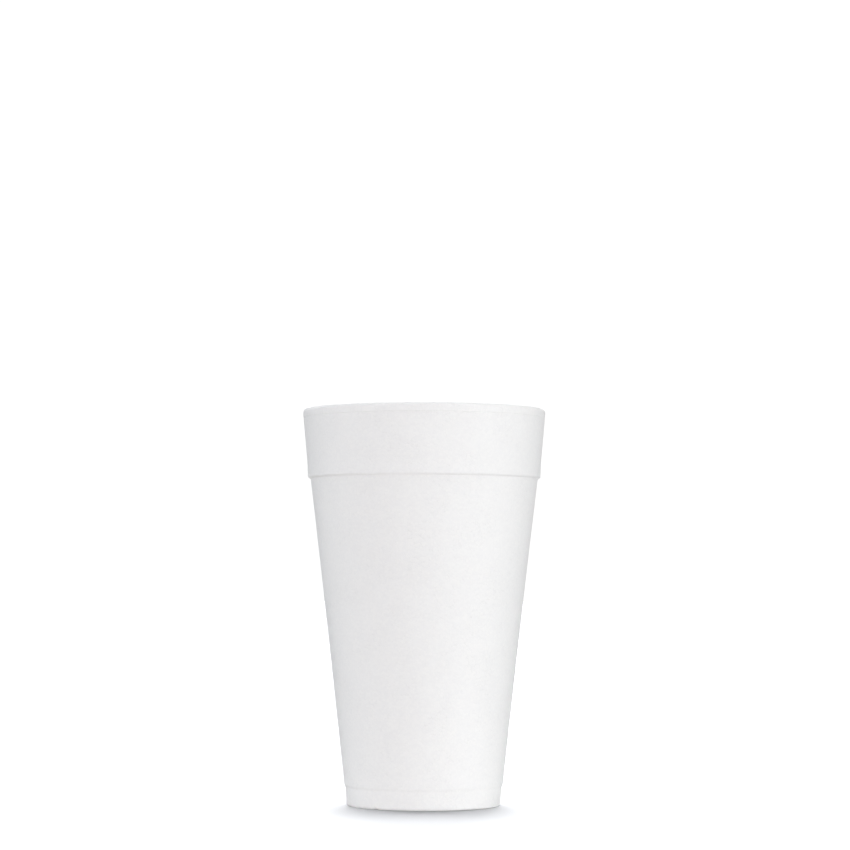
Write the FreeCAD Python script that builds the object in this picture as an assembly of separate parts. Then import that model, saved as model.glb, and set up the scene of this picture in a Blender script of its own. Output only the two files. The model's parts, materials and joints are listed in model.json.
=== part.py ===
import FreeCAD, Part

import math
import os

from FreeCAD import Vector

# A plain white moulded-foam drink cup for about 20 US fl oz (0.6 l).
# Millimetres, +Z up. The origin is the centre of the ring that the cup
# stands on, and the whole cup is one solid turned about the Z axis.

# ---- overall ------------------------------------------------------------
HEIGHT = 152.1            # foot to the top of the lip (about 6 in)
MOUTH_RADIUS = 46.85      # widest point of the lip (3 11/16 in across)

# ---- foot: short, nearly straight ring below the tapered body -----------
FOOT_RADIUS = 29.55       # at the level of the bottom corner
FOOT_TOP_RADIUS = 30.00   # where the ring meets the small step
FOOT_CORNER = 0.95        # rounding of the outer bottom edge
STEP_LOW = 7.25           # the small step out from foot to body
STEP_HIGH = 8.15
STEP_EASE = 0.40          # rounding of both edges of that step

# ---- body: long taper, drawn in very slightly between its ends ----------
BODY_LOW_RADIUS = 30.46   # at STEP_HIGH
BODY_HIGH_RADIUS = 43.90  # just under the collar
BODY_BOW = 0.22           # how far the middle lies inside a straight line
COLLAR_LOW = 125.22       # level of the shoulder under the collar

# ---- collar: thicker band round the mouth ------------------------------
SHOULDER_RADIUS = 44.98   # outer corner of the shoulder
SHOULDER_RISE = 0.50      # the shoulder slopes up a little as it goes out
SHOULDER_CREASE = 0.15    # rounding inside, against the body
SHOULDER_CORNER = 0.95    # rounding outside
COLLAR_BEND = 130.50      # nearly straight up to here, then tapered
COLLAR_BEND_RADIUS = 45.06
COLLAR_TOP = 147.60       # end of the taper
COLLAR_TOP_RADIUS = 46.62

# ---- lip: bead a hair prouder than the collar, split by a mould line ----
PARTING = 148.65          # level of the mould line
PARTING_RADIUS = 46.66    # collar surface there
PARTING_RISE = 0.20       # height over which the lip steps out
PARTING_STEP = 0.08       # how far it steps out there
LIP_FULL = 150.50         # the lip swells to the mouth radius by this level
LIP_OUTER_CORNER = 1.40
LIP_INNER_CORNER = 0.95

# ---- inside --------------------------------------------------------------
LIP_INSIDE_RADIUS = 44.28  # inner wall carried up to the top of the lip
NEST_LEDGE = 28.40         # a nested cup stands on this ledge
WALL_AT_LEDGE = 2.40       # wall thickness just above the ledge
LEDGE_RADIUS = 29.00       # inner wall just under the ledge
LEDGE_DROP = 0.30          # the ledge falls a little towards the middle
LEDGE_CREASE = 0.60
LEDGE_CORNER = 0.60
FLOOR_TOP = 6.20
FLOOR_RADIUS = 27.30       # inner wall carried down to the floor
FLOOR_FILLET = 2.60

# ---- underside -----------------------------------------------------------
RECESS_DEPTH = 3.00        # floor is raised off the table by this much
RECESS_RADIUS = 26.50      # inner edge of the standing ring
RECESS_TOP_RADIUS = 26.05
RING_INNER_CORNER = 0.80
RECESS_FILLET = 1.20
FILL_MARK_RADIUS = 3.60    # plain round mark where the beads were blown in
FILL_MARK_DEPTH = 0.35


def body_radius(z):
    """Outer radius of the tapered body at level z, with its slight bow."""
    t = (z - STEP_HIGH) / (COLLAR_LOW - STEP_HIGH)
    straight = BODY_LOW_RADIUS + (BODY_HIGH_RADIUS - BODY_LOW_RADIUS) * t
    return straight - BODY_BOW * 4.0 * t * (1.0 - t)


def corner(r, z, rounding=0.0):
    return {"at": Vector(r, 0.0, z), "rounding": rounding}


def rounded(points):
    """Closed outline of straight runs and tangent arcs.

    Each point is a sharp corner with the radius that rounds it off, and 0
    leaves it sharp. Returns a wire in the XZ plane.
    """
    count = len(points)
    entry, leave, middle = [], [], []
    for i in range(count):
        p = points[i]["at"]
        radius = points[i]["rounding"]
        if radius <= 0.0:
            entry.append(p)
            leave.append(p)
            middle.append(None)
            continue
        back = points[i - 1]["at"].sub(p)
        ahead = points[(i + 1) % count]["at"].sub(p)
        back.normalize()
        ahead.normalize()
        half = back.getAngle(ahead) / 2.0
        cut = radius / math.tan(half)
        bisector = back.add(ahead)
        bisector.normalize()
        centre = p.add(bisector * (radius / math.sin(half)))
        entry.append(p.add(back * cut))
        leave.append(p.add(ahead * cut))
        middle.append(centre.sub(bisector * radius))
    edges = []
    for i in range(count):
        if middle[i] is not None:
            edges.append(Part.Arc(entry[i], middle[i], leave[i]).toShape())
        start, end = leave[i], entry[(i + 1) % count]
        if start.distanceToPoint(end) > 1e-6:
            edges.append(Part.makeLine(start, end))
    return Part.Wire(edges)


def outline():
    """Half section of the cup, from the middle of the underside, out round
    the foot, up the outside, over the lip and down the inside."""
    below = [
        corner(0.0, RECESS_DEPTH + FILL_MARK_DEPTH),
        corner(FILL_MARK_RADIUS - 0.3, RECESS_DEPTH + FILL_MARK_DEPTH),
        corner(FILL_MARK_RADIUS, RECESS_DEPTH),
        corner(RECESS_TOP_RADIUS, RECESS_DEPTH, RECESS_FILLET),
        corner(RECESS_RADIUS, 0.0, RING_INNER_CORNER),
    ]
    # The foot's side carried down to the table is its sharp bottom corner.
    lean = (FOOT_TOP_RADIUS - FOOT_RADIUS) / (STEP_LOW - FOOT_CORNER)
    foot = [
        corner(FOOT_RADIUS - lean * FOOT_CORNER, 0.0, FOOT_CORNER),
        corner(FOOT_TOP_RADIUS, STEP_LOW, STEP_EASE),
        corner(BODY_LOW_RADIUS, STEP_HIGH, STEP_EASE),
    ]
    # The bow is a row of plain cones that turn by less than a tenth of a
    # degree from one to the next.
    spans = 10
    body = []
    for k in range(1, spans):
        z = STEP_HIGH + (COLLAR_LOW - STEP_HIGH) * k / spans
        body.append(corner(body_radius(z), z))
    collar = [
        corner(BODY_HIGH_RADIUS, COLLAR_LOW, SHOULDER_CREASE),
        corner(SHOULDER_RADIUS, COLLAR_LOW + SHOULDER_RISE, SHOULDER_CORNER),
        corner(COLLAR_BEND_RADIUS, COLLAR_BEND),
        corner(COLLAR_TOP_RADIUS, COLLAR_TOP),
    ]
    lip = [
        corner(PARTING_RADIUS, PARTING),
        corner(PARTING_RADIUS + PARTING_STEP, PARTING + PARTING_RISE),
        corner(MOUTH_RADIUS, LIP_FULL),
        corner(MOUTH_RADIUS, HEIGHT, LIP_OUTER_CORNER),
        corner(LIP_INSIDE_RADIUS, HEIGHT, LIP_INNER_CORNER),
    ]
    inside = [
        corner(body_radius(NEST_LEDGE) - WALL_AT_LEDGE, NEST_LEDGE, LEDGE_CREASE),
        corner(LEDGE_RADIUS, NEST_LEDGE - LEDGE_DROP, LEDGE_CORNER),
        corner(FLOOR_RADIUS, FLOOR_TOP, FLOOR_FILLET),
        corner(0.0, FLOOR_TOP),
    ]
    return rounded(below + foot + body + collar + lip + inside)


def make_cup():
    section = Part.Face(outline())
    solid = section.revolve(Vector(0, 0, 0), Vector(0, 0, 1), 360.0)
    if solid.ShapeType != "Solid":
        solid = solid.Solids[0]
    if solid.Volume < 0.0:
        solid.reverse()
    return solid


def inner_volume(cup):
    """Brimful content in millilitres: a blank of the outer form less foam."""
    top = HEIGHT
    blank = Part.makeCone(FLOOR_RADIUS + 1.0, LIP_INSIDE_RADIUS + 1.0,
                          top - FLOOR_TOP, Vector(0, 0, FLOOR_TOP))
    space = blank.cut(cup)
    inner = [s for s in space.Solids if s.isInside(Vector(0, 0, HEIGHT / 2), 0.01, True)]
    return sum(s.Volume for s in inner) / 1000.0


os.makedirs("parts", exist_ok=True)
cup = make_cup()
cup.exportStep("parts/cup.step")

box = cup.BoundBox
print("cup valid", cup.isValid(), "closed", cup.isClosed(), "faces", len(cup.Faces))
print("size", round(box.XLength, 2), round(box.YLength, 2), round(box.ZLength, 2))
print("foam volume cm3", round(cup.Volume / 1000.0, 2),
      "brimful ml", round(inner_volume(cup), 1))
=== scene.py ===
import json
import math
import random

import bmesh
import bpy
import numpy as np
from mathutils import Matrix, Vector

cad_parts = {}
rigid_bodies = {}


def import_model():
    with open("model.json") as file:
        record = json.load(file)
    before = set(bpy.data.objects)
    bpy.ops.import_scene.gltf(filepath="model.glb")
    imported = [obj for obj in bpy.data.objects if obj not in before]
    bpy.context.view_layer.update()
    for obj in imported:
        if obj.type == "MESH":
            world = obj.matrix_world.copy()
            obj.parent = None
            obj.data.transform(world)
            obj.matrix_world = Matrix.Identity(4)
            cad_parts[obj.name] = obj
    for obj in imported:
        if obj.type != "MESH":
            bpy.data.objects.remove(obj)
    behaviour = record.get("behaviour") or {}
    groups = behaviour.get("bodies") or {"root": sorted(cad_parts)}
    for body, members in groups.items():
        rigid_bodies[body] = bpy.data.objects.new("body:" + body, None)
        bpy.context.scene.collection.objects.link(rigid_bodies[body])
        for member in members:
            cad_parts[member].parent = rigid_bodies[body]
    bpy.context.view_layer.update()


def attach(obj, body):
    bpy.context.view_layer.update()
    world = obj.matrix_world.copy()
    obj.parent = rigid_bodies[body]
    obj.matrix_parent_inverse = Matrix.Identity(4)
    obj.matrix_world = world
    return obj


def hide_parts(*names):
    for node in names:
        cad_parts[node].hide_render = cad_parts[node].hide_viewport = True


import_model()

MM = 0.001

# =========================================================================
# The cup's own shape: one moulded shell turned about +Z, in millimetres.
# =========================================================================

HEIGHT = 152.1
FOOT_RADIUS, FOOT_TOP_RADIUS, FOOT_CORNER = 29.52, 30.00, 0.68
STEP_LOW, STEP_HIGH, STEP_EASE = 7.05, 8.00, 0.40
BODY_LOW_RADIUS, BODY_HIGH_RADIUS, BODY_BOW = 30.46, 43.90, 0.22
COLLAR_LOW, SHOULDER_RADIUS, SHOULDER_RISE = 125.22, 44.98, 0.50
SHOULDER_CREASE, SHOULDER_CORNER = 0.15, 0.95
COLLAR_BEND, COLLAR_BEND_RADIUS = 130.50, 45.06
COLLAR_TOP, COLLAR_TOP_RADIUS = 147.60, 46.62
PARTING, PARTING_RADIUS, PARTING_RISE, PARTING_STEP = 148.65, 46.66, 0.19, 0.08
PARTING_GROOVE = 0.11   # depth of the fine crease in the mould line
MOUTH_RADIUS, LIP_FULL, LIP_OUTER_CORNER, LIP_INNER_CORNER = 46.85, 150.50, 1.40, 0.95
LIP_INSIDE_RADIUS = 44.28
NEST_LEDGE, WALL_AT_LEDGE, LEDGE_RADIUS, LEDGE_DROP = 28.40, 2.40, 29.00, 0.30
FLOOR_TOP, FLOOR_RADIUS, FLOOR_FILLET = 6.20, 27.30, 2.60
RECESS_DEPTH, RECESS_RADIUS, RECESS_TOP_RADIUS = 3.00, 26.50, 26.05
FILL_MARK_RADIUS, FILL_MARK_DEPTH = 3.60, 0.35

AROUND = 272            # columns of faces round the cup


def body_radius(z):
    t = (z - STEP_HIGH) / (COLLAR_LOW - STEP_HIGH)
    straight = BODY_LOW_RADIUS + (BODY_HIGH_RADIUS - BODY_LOW_RADIUS) * t
    return straight - BODY_BOW * 4.0 * t * (1.0 - t)


def section():
    """Corners (radius, level, rounding, longest step, part of the cup) of the
    half section, from the middle of the underside round to the middle of the
    floor inside."""
    lean = (FOOT_TOP_RADIUS - FOOT_RADIUS) / (STEP_LOW - FOOT_CORNER)
    c = [
        (0.0, RECESS_DEPTH + FILL_MARK_DEPTH, 0, 1.2, "under"),
        (FILL_MARK_RADIUS - 0.3, RECESS_DEPTH + FILL_MARK_DEPTH, 0.15, 0.5, "under"),
        (FILL_MARK_RADIUS, RECESS_DEPTH, 0.15, 2.0, "under"),
        (RECESS_TOP_RADIUS, RECESS_DEPTH, 1.20, 1.0, "under"),
        (RECESS_RADIUS, 0.0, 0.80, 0.5, "under"),
        (FOOT_RADIUS - lean * FOOT_CORNER, 0.0, FOOT_CORNER, 0.8, "outside"),
        (FOOT_TOP_RADIUS, STEP_LOW, STEP_EASE, 0.5, "outside"),
        (BODY_LOW_RADIUS, STEP_HIGH, STEP_EASE, 1.7, "outside"),
    ]
    spans = 66
    for k in range(1, spans):
        z = STEP_HIGH + (COLLAR_LOW - STEP_HIGH) * k / spans
        c.append((body_radius(z), z, 0, 5.0, "outside"))
    c += [
        (BODY_HIGH_RADIUS, COLLAR_LOW, SHOULDER_CREASE, 0.4, "outside"),
        (SHOULDER_RADIUS, COLLAR_LOW + SHOULDER_RISE, SHOULDER_CORNER, 1.3, "outside"),
        (COLLAR_BEND_RADIUS, COLLAR_BEND, 40.0, 1.3, "outside"),
        (COLLAR_TOP_RADIUS, COLLAR_TOP, 30.0, 0.7, "outside"),
        (PARTING_RADIUS, PARTING - PARTING_RISE, 0.05, 0.3, "outside"),
        (PARTING_RADIUS - PARTING_GROOVE, PARTING, 0.03, 0.3, "outside"),
        (PARTING_RADIUS + PARTING_STEP, PARTING + PARTING_RISE, 0.06, 0.5, "outside"),
        (MOUTH_RADIUS, LIP_FULL, 1.5, 0.5, "outside"),
        (MOUTH_RADIUS, HEIGHT, LIP_OUTER_CORNER, 0.4, "outside"),
        (LIP_INSIDE_RADIUS, HEIGHT, LIP_INNER_CORNER, 2.0, "inside"),
        (body_radius(NEST_LEDGE) - WALL_AT_LEDGE, NEST_LEDGE, 0.60, 0.4, "inside"),
        (LEDGE_RADIUS, NEST_LEDGE - LEDGE_DROP, 0.60, 1.8, "inside"),
        (FLOOR_RADIUS, FLOOR_TOP, FLOOR_FILLET, 1.8, "inside"),
        (0.0, FLOOR_TOP, 0, 1.0, "inside"),
    ]
    return c


def outline():
    """The section as a row of points (radius, level, part)."""
    c = section()
    legs = []
    for i, (r, z, rounding, step, part) in enumerate(c):
        p = Vector((r, z))
        if not rounding or i in (0, len(c) - 1):
            legs.append(([p], step, part))
            continue
        back = (Vector(c[i - 1][:2]) - p).normalized()
        ahead = (Vector(c[i + 1][:2]) - p).normalized()
        half = back.angle(ahead) / 2
        cut = rounding / math.tan(half)
        centre = p + (back + ahead).normalized() * (rounding / math.sin(half))
        turn = math.pi - 2 * half
        steps = max(3, round(math.degrees(turn) / 11))
        if rounding > 5:
            steps = 4
        a = p + back * cut - centre
        b = p + ahead * cut - centre
        start = math.atan2(a.y, a.x)
        sweep = math.atan2(a.x * b.y - a.y * b.x, a.dot(b))
        arc = [
            centre + rounding * Vector((math.cos(start + sweep * k / steps), math.sin(start + sweep * k / steps)))
            for k in range(steps + 1)
        ]
        legs.append((arc, step, part))
    points = []
    for i, (arc, step, part) in enumerate(legs):
        points += [(p.x, p.y, part) for p in arc]
        if i + 1 == len(legs):
            break
        a, b = arc[-1], legs[i + 1][0][0]
        length = (b - a).length
        if length < 1e-4:
            continue
        # short rows beside each rounding keep the shading of the long run flat
        cuts = []
        if length > 2.4:
            cuts = [0.18 / length, 0.6 / length, 1 - 0.6 / length, 1 - 0.18 / length]
            inner = max(1, math.ceil((length - 1.2) / step))
            cuts += [(0.6 + (length - 1.2) * k / inner) / length for k in range(1, inner)]
        else:
            inner = max(1, math.ceil(length / step))
            cuts += [k / inner for k in range(1, inner)]
        for t in sorted(cuts):
            q = a + (b - a) * t
            points.append((q.x, q.y, part))
    return points


# ---- the small unevenness of a real moulding ------------------------------

rng = random.Random(20)
WAVES = [
    (rng.choice((2, 3, 3, 4, 5, 7, 9, 12)), rng.uniform(0.02, 0.12), rng.uniform(0, 6.283), rng.uniform(0, 6.283), rng.uniform(0.004, 0.011))
    for _ in range(16)
]


def waver(phi, z):
    """Slow in-and-out of the whole wall, in mm."""
    w = 0.05 * (z / HEIGHT) ** 2 * math.cos(2 * (phi - 0.7))
    for n, kz, a, b, amount in WAVES:
        w += amount * math.sin(n * phi + a) * math.sin(kz * z + b)
    return w


# Small chips and soft dents where beads are missing along the bottom edge.
# (angle, half width in mm, depth in mm); the first is the one nick that shows.
NICKS = [(-math.pi / 2 - 0.668, 0.85, 0.30), (-math.pi / 2 - 0.600, 0.55, 0.20), (-math.pi / 2 + 0.69, 0.8, 0.22)]
for _ in range(46):
    NICKS.append((rng.uniform(-math.pi, math.pi), rng.uniform(0.6, 1.6), rng.uniform(0.02, 0.11)))


def edge_loss(phi, radius):
    loss = 0.0
    for at, half, depth in NICKS:
        d = (phi - at + math.pi) % (2 * math.pi) - math.pi
        d *= radius / half
        if abs(d) < 3:
            loss = max(loss, depth * math.exp(-d * d))
    return loss


def make_cup():
    rows = outline()
    count = len(rows)
    verts, faces = [], []
    first = rows[0]
    verts.append((0.0, 0.0, first[1] * MM))
    ring_start = {}
    corner_centre = Vector((FOOT_RADIUS - FOOT_CORNER, FOOT_CORNER))
    for i in range(1, count - 1):
        r, z, part = rows[i]
        ring_start[i] = len(verts)
        in_corner = r > FOOT_RADIUS - FOOT_CORNER and z < FOOT_CORNER * 1.4 and part == "outside" or (
            r > FOOT_RADIUS - FOOT_CORNER and z < FOOT_CORNER)
        for k in range(AROUND):
            phi = 2 * math.pi * k / AROUND
            rr, zz = r, z
            fade = min(1.0, max(0.0, (z - 1.5) / 6.0)) * min(1.0, r / 20.0)
            rr += waver(phi, z) * fade
            if in_corner:
                away = Vector((r, z)) - corner_centre
                if away.length > 0.3:
                    # strongest on the diagonal of the rounded edge
                    ang = math.atan2(-away.y, away.x)
                    weight = max(0.0, math.sin(min(max(2 * ang, 0.0), math.pi)))
                    if away.y > 0:
                        weight = 0.0
                    loss = edge_loss(phi, r) * (0.25 + 0.75 * weight) if away.y <= 0 else 0.0
                    if z < 0.02:
                        loss = 0.0
                    away = away.normalized()
                    rr -= away.x * loss
                    zz -= away.y * loss
            if FOOT_RADIUS - 2.2 < r < FOOT_RADIUS + 1.0 and z < 1.4:
                # the one clear nick is open to the table
                d = (phi - NICKS[0][0] + math.pi) % (2 * math.pi) - math.pi
                reach = min(1.0, (r - FOOT_RADIUS + 2.2) / 1.2) * (1.0 - z / 1.4)
                zz += 0.50 * reach * math.exp(-min(50.0, (d * r / 0.60) ** 2))
            verts.append((rr * MM * math.cos(phi), rr * MM * math.sin(phi), zz * MM))
    verts.append((0.0, 0.0, rows[-1][1] * MM))
    last = len(verts) - 1

    # Rows' places up the texture map, by distance along the section.
    along = [0.0]
    for i in range(1, count):
        along.append(along[-1] + math.hypot(rows[i][0] - rows[i - 1][0], rows[i][1] - rows[i - 1][1]))
    foot_at = next(i for i in range(count) if rows[i][2] == "outside" or rows[i][0] > 28.0 and rows[i][1] < 0.01)
    lip_at = max(range(count), key=lambda i: (rows[i][1], -rows[i][0]))
    floor_at = max(i for i in range(lip_at, count) if rows[i][0] > 24.6)

    def band(i, start, end, low, high):
        return low + (high - low) * (along[i] - along[start]) / (along[end] - along[start])

    uv = []
    PAD = 0.006

    def add_face(ids, coords):
        faces.append(ids)
        uv.append(coords)

    def disc(i, centre_u, centre_v, full, flip):
        reach = rows[i][0] / full
        def at(k):
            a = 2 * math.pi * k / AROUND * flip
            return (centre_u + 0.083 * reach * math.cos(a), centre_v + 0.083 * reach * math.sin(a))
        return at

    def place(i, side):
        """Map coordinates of column k in row i, seen as part of that side."""
        if side == "under":
            return disc(i, 0.10, 0.09, rows[foot_at][0], -1)
        if side == "floor":
            return disc(i, 0.30, 0.09, rows[floor_at][0], 1)
        if side == "outside":
            v = band(i, foot_at, lip_at, 0.545, 0.995)
            return lambda k: (0.005 + 0.99 * k / AROUND, v)
        v = band(i, lip_at, floor_at, 0.535, 0.19)
        return lambda k: (0.005 + 0.99 * k / AROUND, v)

    def side_of(i):
        if i < foot_at:
            return "under"
        if i < lip_at:
            return "outside"
        if i < floor_at:
            return "inside"
        return "floor"

    under_pole, floor_pole = (0.10, 0.09), (0.30, 0.09)
    a1 = place(1, "under")
    for k in range(AROUND):
        k2 = (k + 1) % AROUND
        add_face((0, ring_start[1] + k2, ring_start[1] + k), (under_pole, a1(k + 1), a1(k)))
    for i in range(1, count - 2):
        side = side_of(i)
        lo, hi = place(i, side), place(i + 1, side)
        for k in range(AROUND):
            k2 = (k + 1) % AROUND
            add_face(
                (ring_start[i] + k, ring_start[i] + k2, ring_start[i + 1] + k2, ring_start[i + 1] + k),
                (lo(k), lo(k + 1), hi(k + 1), hi(k)),
            )
    an = place(count - 2, "floor")
    for k in range(AROUND):
        k2 = (k + 1) % AROUND
        add_face((ring_start[count - 2] + k, ring_start[count - 2] + k2, last), (an(k), an(k + 1), floor_pole))

    mesh = bpy.data.meshes.new("foam_cup")
    mesh.from_pydata(verts, [], faces)
    layer = mesh.uv_layers.new(name="OFBake")
    flat = [x for face in uv for pair in face for x in pair]
    layer.data.foreach_set("uv", flat)
    mesh.validate()
    mesh.update()
    mesh.polygons.foreach_set("use_smooth", [True] * len(mesh.polygons))
    cup = bpy.data.objects.new("foam_cup", mesh)
    bpy.context.scene.collection.objects.link(cup)
    return cup


# =========================================================================
# Materials
# =========================================================================


class Nodes:
    """Small helper for building a node tree."""

    def __init__(self, tree):
        self.tree = tree

    def add(self, kind, **inputs):
        node = self.tree.nodes.new(kind)
        for key, value in inputs.items():
            if hasattr(node, key) and key not in node.inputs:
                setattr(node, key, value)
        return node

    def link(self, a, b):
        self.tree.links.new(a, b)

    def math(self, operation, a, b=None, c=None, clamp=False):
        node = self.tree.nodes.new("ShaderNodeMath")
        node.operation = operation
        node.use_clamp = clamp
        for i, x in enumerate((a, b, c)):
            if x is None:
                continue
            if isinstance(x, (int, float)):
                node.inputs[i].default_value = x
            else:
                self.link(x, node.inputs[i])
        return node.outputs[0]

    def remap(self, value, a, b, c, d, smooth=False):
        node = self.tree.nodes.new("ShaderNodeMapRange")
        node.interpolation_type = "SMOOTHSTEP" if smooth else "LINEAR"
        self.link(value, node.inputs["Value"])
        for key, x in zip(("From Min", "From Max", "To Min", "To Max"), (a, b, c, d)):
            node.inputs[key].default_value = x
        return node.outputs["Result"]


def foam_material():
    """Fused white foam beads, moulded against a smooth wall: flat-faced cells
    a little under a millimetre across, fine seams between them, a few pits
    where beads meet, and a soft satin skin."""
    mat = bpy.data.materials.new("white_bead_foam")
    mat.use_nodes = True
    tree = mat.node_tree
    tree.nodes.clear()
    n = Nodes(tree)
    out = n.add("ShaderNodeOutputMaterial")
    skin = n.add("ShaderNodeBsdfPrincipled")
    n.link(skin.outputs[0], out.inputs["Surface"])

    place = n.add("ShaderNodeTexCoord").outputs["Object"]

    # a slight drift of the coordinates so that no two beads are alike
    drift = n.add("ShaderNodeTexNoise", noise_dimensions="3D")
    drift.inputs["Scale"].default_value = 640.0
    drift.inputs["Detail"].default_value = 1.0
    n.link(place, drift.inputs["Vector"])
    shift = n.add("ShaderNodeVectorMath", operation="MULTIPLY_ADD")
    n.link(drift.outputs["Color"], shift.inputs[0])
    shift.inputs[1].default_value = (0.00036, 0.00036, 0.00036)
    n.link(place, shift.inputs[2])
    beads_at = shift.outputs[0]

    bead = n.add("ShaderNodeTexVoronoi", voronoi_dimensions="3D", feature="F1")
    bead.inputs["Scale"].default_value = 1150.0
    n.link(beads_at, bead.inputs["Vector"])
    seam = n.add("ShaderNodeTexVoronoi", voronoi_dimensions="3D", feature="DISTANCE_TO_EDGE")
    seam.inputs["Scale"].default_value = 1150.0
    n.link(beads_at, seam.inputs["Vector"])
    own = n.add("ShaderNodeSeparateColor")
    n.link(bead.outputs["Color"], own.inputs[0])

    # how well each patch of beads has fused: seams come and go over the wall
    patch = n.add("ShaderNodeTexNoise", noise_dimensions="3D")
    patch.inputs["Scale"].default_value = 90.0
    patch.inputs["Detail"].default_value = 3.0
    patch.inputs["Roughness"].default_value = 0.55
    n.link(place, patch.inputs["Vector"])
    open_seams = n.remap(patch.outputs["Fac"], 0.38, 0.64, 0.35, 1.0, smooth=True)

    groove = n.remap(seam.outputs["Distance"], 0.0, 0.10, 1.0, 0.0, smooth=True)
    groove = n.math("MULTIPLY", groove, open_seams)

    # pits where beads meet, at the far corners of the cells
    pit = n.remap(bead.outputs["Distance"], 0.66, 0.86, 0.0, 1.0, smooth=True)
    pit = n.math("MULTIPLY", pit, open_seams)

    # soft mottle across the whole wall
    cloud = n.add("ShaderNodeTexNoise", noise_dimensions="3D")
    cloud.inputs["Scale"].default_value = 34.0
    cloud.inputs["Detail"].default_value = 2.0
    n.link(place, cloud.inputs["Vector"])

    # colour: almost pure white, each bead a shade of its own
    tone = n.remap(own.outputs[0], 0.0, 1.0, 0.0, 1.0)
    tone = n.math("MULTIPLY", tone, 0.55)
    tone = n.math("MULTIPLY_ADD", cloud.outputs["Fac"], 0.45, tone)
    ramp = n.add("ShaderNodeValToRGB")
    ramp.color_ramp.elements[0].color = (0.868, 0.868, 0.874, 1)
    ramp.color_ramp.elements[0].position = 0.12
    ramp.color_ramp.elements[1].color = (0.905, 0.904, 0.902, 1)
    ramp.color_ramp.elements[1].position = 0.88
    n.link(tone, ramp.inputs[0])
    # painted shade: the sunk seams and pits are mixed towards a bluish grey in the colour, standing in for the
    # shade that falls in them
    painted_shade = n.math("MULTIPLY", groove, 0.055)
    painted_shade = n.math("MULTIPLY_ADD", pit, 0.08, painted_shade)
    mix = n.add("ShaderNodeMix", data_type="RGBA", blend_type="MIX")
    n.link(painted_shade, mix.inputs["Factor"])
    n.link(ramp.outputs[0], mix.inputs[6])
    mix.inputs[7].default_value = (0.62, 0.625, 0.64, 1)
    n.link(mix.outputs[2], skin.inputs["Base Color"])

    # roughness: satin bead faces, dull seams
    rough = n.remap(own.outputs[1], 0.0, 1.0, 0.50, 0.62)
    rough = n.math("MULTIPLY_ADD", groove, 0.18, rough)
    rough = n.math("MULTIPLY_ADD", pit, 0.15, rough, clamp=True)
    n.link(rough, skin.inputs["Roughness"])

    # relief: seams and pits sink, each bead's face sits at its own level
    level = n.math("MULTIPLY", groove, -0.60)
    level = n.math("MULTIPLY_ADD", pit, -1.00, level)
    level = n.math("MULTIPLY_ADD", own.outputs[2], 0.22, level)
    level = n.math("MULTIPLY_ADD", cloud.outputs["Fac"], 1.05, level)
    bump = n.add("ShaderNodeBump")
    bump.inputs["Strength"].default_value = 1.0
    bump.inputs["Distance"].default_value = 0.000030
    n.link(level, bump.inputs["Height"])
    n.link(bump.outputs[0], skin.inputs["Normal"])

    skin.inputs["IOR"].default_value = 1.36
    skin.inputs["Specular IOR Level"].default_value = 0.42
    skin.inputs["Subsurface Weight"].default_value = 0.18
    skin.inputs["Subsurface Radius"].default_value = (1.0, 0.97, 0.94)
    skin.inputs["Subsurface Scale"].default_value = 0.0012
    return mat


def floor_material():
    """Pale matte table. It throws less light back up at the cup than it
    shows, because light from below is set by lights of its own."""
    mat = bpy.data.materials.new("pale_floor")
    mat.use_nodes = True
    tree = mat.node_tree
    tree.nodes.clear()
    n = Nodes(tree)
    out = n.add("ShaderNodeOutputMaterial")
    shown = n.add("ShaderNodeBsdfDiffuse")
    shown.inputs["Color"].default_value = (0.444, 0.450, 0.464, 1)
    thrown = n.add("ShaderNodeBsdfDiffuse")
    thrown.inputs["Color"].default_value = (0.068, 0.068, 0.068, 1)
    pick = n.add("ShaderNodeMixShader")
    path = n.add("ShaderNodeLightPath")
    n.link(path.outputs["Is Camera Ray"], pick.inputs[0])
    n.link(thrown.outputs[0], pick.inputs[1])
    n.link(shown.outputs[0], pick.inputs[2])
    n.link(pick.outputs[0], out.inputs["Surface"])
    return mat


cup = make_cup()
cup.data.materials.append(foam_material())
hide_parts("cup")
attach(cup, "root")

# =========================================================================
# Floor, light and camera
# =========================================================================

me = bpy.data.meshes.new("floor")
bm = bmesh.new()
bmesh.ops.create_circle(bm, cap_ends=True, segments=96, radius=12.0)
bm.to_mesh(me)
bm.free()
floor = bpy.data.objects.new("floor", me)
bpy.context.scene.collection.objects.link(floor)
floor.location = (0, 0, -0.00002)
floor.data.materials.append(floor_material())


def group_of(name, obj):
    group = bpy.data.collections.new(name)
    group.objects.link(obj)
    return group


CUP_ONLY, FLOOR_ONLY = group_of("lit_cup", cup), group_of("lit_floor", floor)


def sun(name, azimuth, elevation, strength, spread, lights, colour=(1, 1, 1)):
    """A broad far light on the cup or on the floor. Azimuth 0 is in front of
    the cup, 90 to its right. One from below the floor's level passes it."""
    data = bpy.data.lights.new(name, "SUN")
    data.energy = strength
    data.angle = math.radians(spread)
    data.cycles.use_multiple_importance_sampling = False
    data.color = colour
    obj = bpy.data.objects.new(name, data)
    a, e = math.radians(azimuth), math.radians(elevation)
    towards = Vector((math.sin(a) * math.cos(e), -math.cos(a) * math.cos(e), math.sin(e)))
    obj.rotation_mode = "QUATERNION"
    obj.rotation_quaternion = towards.to_track_quat("Z", "Y")
    obj.location = towards * 2
    bpy.context.scene.collection.objects.link(obj)
    obj.light_linking.receiver_collection = lights
    if elevation < 0:
        obj.light_linking.blocker_collection = CUP_ONLY
    return obj


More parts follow.
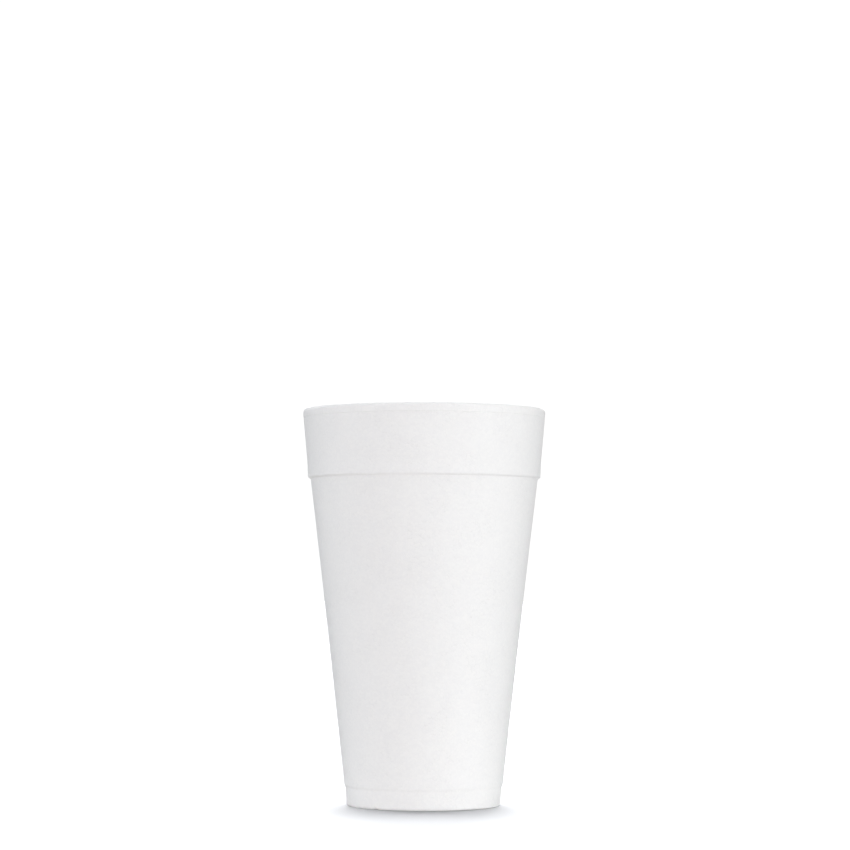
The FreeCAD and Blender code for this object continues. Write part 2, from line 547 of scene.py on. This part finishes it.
LIGHTS = [
    # on the floor: from above and behind, so that the shadow falls forward
    ("floor_top", 0, 90, 1.82, 24, FLOOR_ONLY),
    ("floor_behind", 180, 25, 7.05, 30, FLOOR_ONLY),
    ("floor_behind_left", -145, 25, 4.71, 50, FLOOR_ONLY),
    ("floor_behind_right", 145, 25, 4.71, 50, FLOOR_ONLY),
    ("floor_left", -90, 75, 0.96, 30, FLOOR_ONLY),
    ("floor_right", 90, 75, 0.96, 30, FLOOR_ONLY),
    # on the cup: round about and above
    ("top", 0, 90, 0.250, 60, CUP_ONLY),
    ("front_left", -30, 8, 0.690, 50, CUP_ONLY, (0.989, 0.980, 1.031)),
    ("left", -90, 30, 0.647, 50, CUP_ONLY, (0.935, 1.011, 1.055)),
    ("front_right", 60, 30, 0.640, 50, CUP_ONLY, (0.933, 1.041, 1.027)),
    ("right", 90, 30, 0.382, 50, CUP_ONLY, (1.115, 0.968, 0.917)),
    ("behind", 180, 30, 1.001, 50, CUP_ONLY, (1.001, 0.998, 1.000)),
    ("top_left", -60, 60, 0.510, 50, CUP_ONLY, (1.017, 0.964, 1.019)),
    ("top_right", 60, 60, 0.364, 50, CUP_ONLY, (1.003, 0.999, 0.998)),
    ("top_behind", 180, 60, 0.776, 50, CUP_ONLY, (1.003, 0.997, 1.001)),
    # on the cup: light coming up off a wide white table
    ("up_front", 0, -25, 1.148, 50, CUP_ONLY, (1.042, 0.993, 0.965)),
    ("up_right", 60, -25, 0.707, 50, CUP_ONLY, (0.987, 0.988, 1.025)),
    ("up_left", -60, -25, 0.133, 50, CUP_ONLY, (1.016, 0.988, 0.996)),
    ("up_behind", 180, -25, 0.549, 50, CUP_ONLY, (1.003, 0.997, 1.000)),
    ("level_right", 60, -5, 0.420, 50, CUP_ONLY, (0.965, 1.008, 1.027)),
    ("level_left", -90, -5, 0.544, 50, CUP_ONLY, (0.982, 1.016, 1.001)),
]
for light in LIGHTS:
    sun(*light)

# the table close round the foot, which lights the lowest part of the cup most
glow = bpy.data.lights.new("table_glow", "AREA")
glow.shape = "DISK"
glow.size = 0.14
glow.energy = 0.0090
glow.cycles.use_multiple_importance_sampling = False
glow_lamp = bpy.data.objects.new("table_glow", glow)
glow_lamp.location = (0, 0, -0.0008)
glow_lamp.rotation_euler = (math.pi, 0, 0)
scene_objects = bpy.context.scene.collection.objects
scene_objects.link(glow_lamp)
glow_lamp.light_linking.receiver_collection = CUP_ONLY
glow_lamp.light_linking.blocker_collection = CUP_ONLY

world = bpy.data.worlds.new("studio")
bpy.context.scene.world = world
world.use_nodes = True
tree = world.node_tree
tree.nodes.clear()
n = Nodes(tree)
out = n.add("ShaderNodeOutputWorld")
seen = n.add("ShaderNodeBackground")
seen.inputs["Color"].default_value = (1, 1, 1, 1)
seen.inputs["Strength"].default_value = 1.05
fill = n.add("ShaderNodeBackground")
fill.inputs["Color"].default_value = (1, 1, 1, 1)
fill.inputs["Strength"].default_value = 0.0
pick = n.add("ShaderNodeMixShader")
path = n.add("ShaderNodeLightPath")
n.link(path.outputs["Is Camera Ray"], pick.inputs[0])
n.link(fill.outputs[0], pick.inputs[1])
n.link(seen.outputs[0], pick.inputs[2])
n.link(pick.outputs[0], out.inputs["Surface"])

scene = bpy.context.scene
scene.view_settings.view_transform = "Standard"
scene.view_settings.look = "None"
scene.view_settings.exposure = 0.0
scene.view_settings.gamma = 1.0

EYE_HEIGHT = 0.08477
EYE_AWAY = 1.063
PITCH = 3.306
ROLL = 0.153
camera_data = bpy.data.cameras.new("camera")
camera_data.sensor_width = 36.0
camera_data.lens = 2750 / 850 * 36.0
camera_data.clip_start, camera_data.clip_end = 0.02, 60
camera = bpy.data.objects.new("camera", camera_data)
camera.location = (0.00025, -EYE_AWAY, EYE_HEIGHT)
camera.rotation_euler = (Matrix.Rotation(math.radians(90 + PITCH), 3, "X") @ Matrix.Rotation(math.radians(ROLL), 3, "Z")).to_euler()
scene.collection.objects.link(camera)
scene.camera = camera
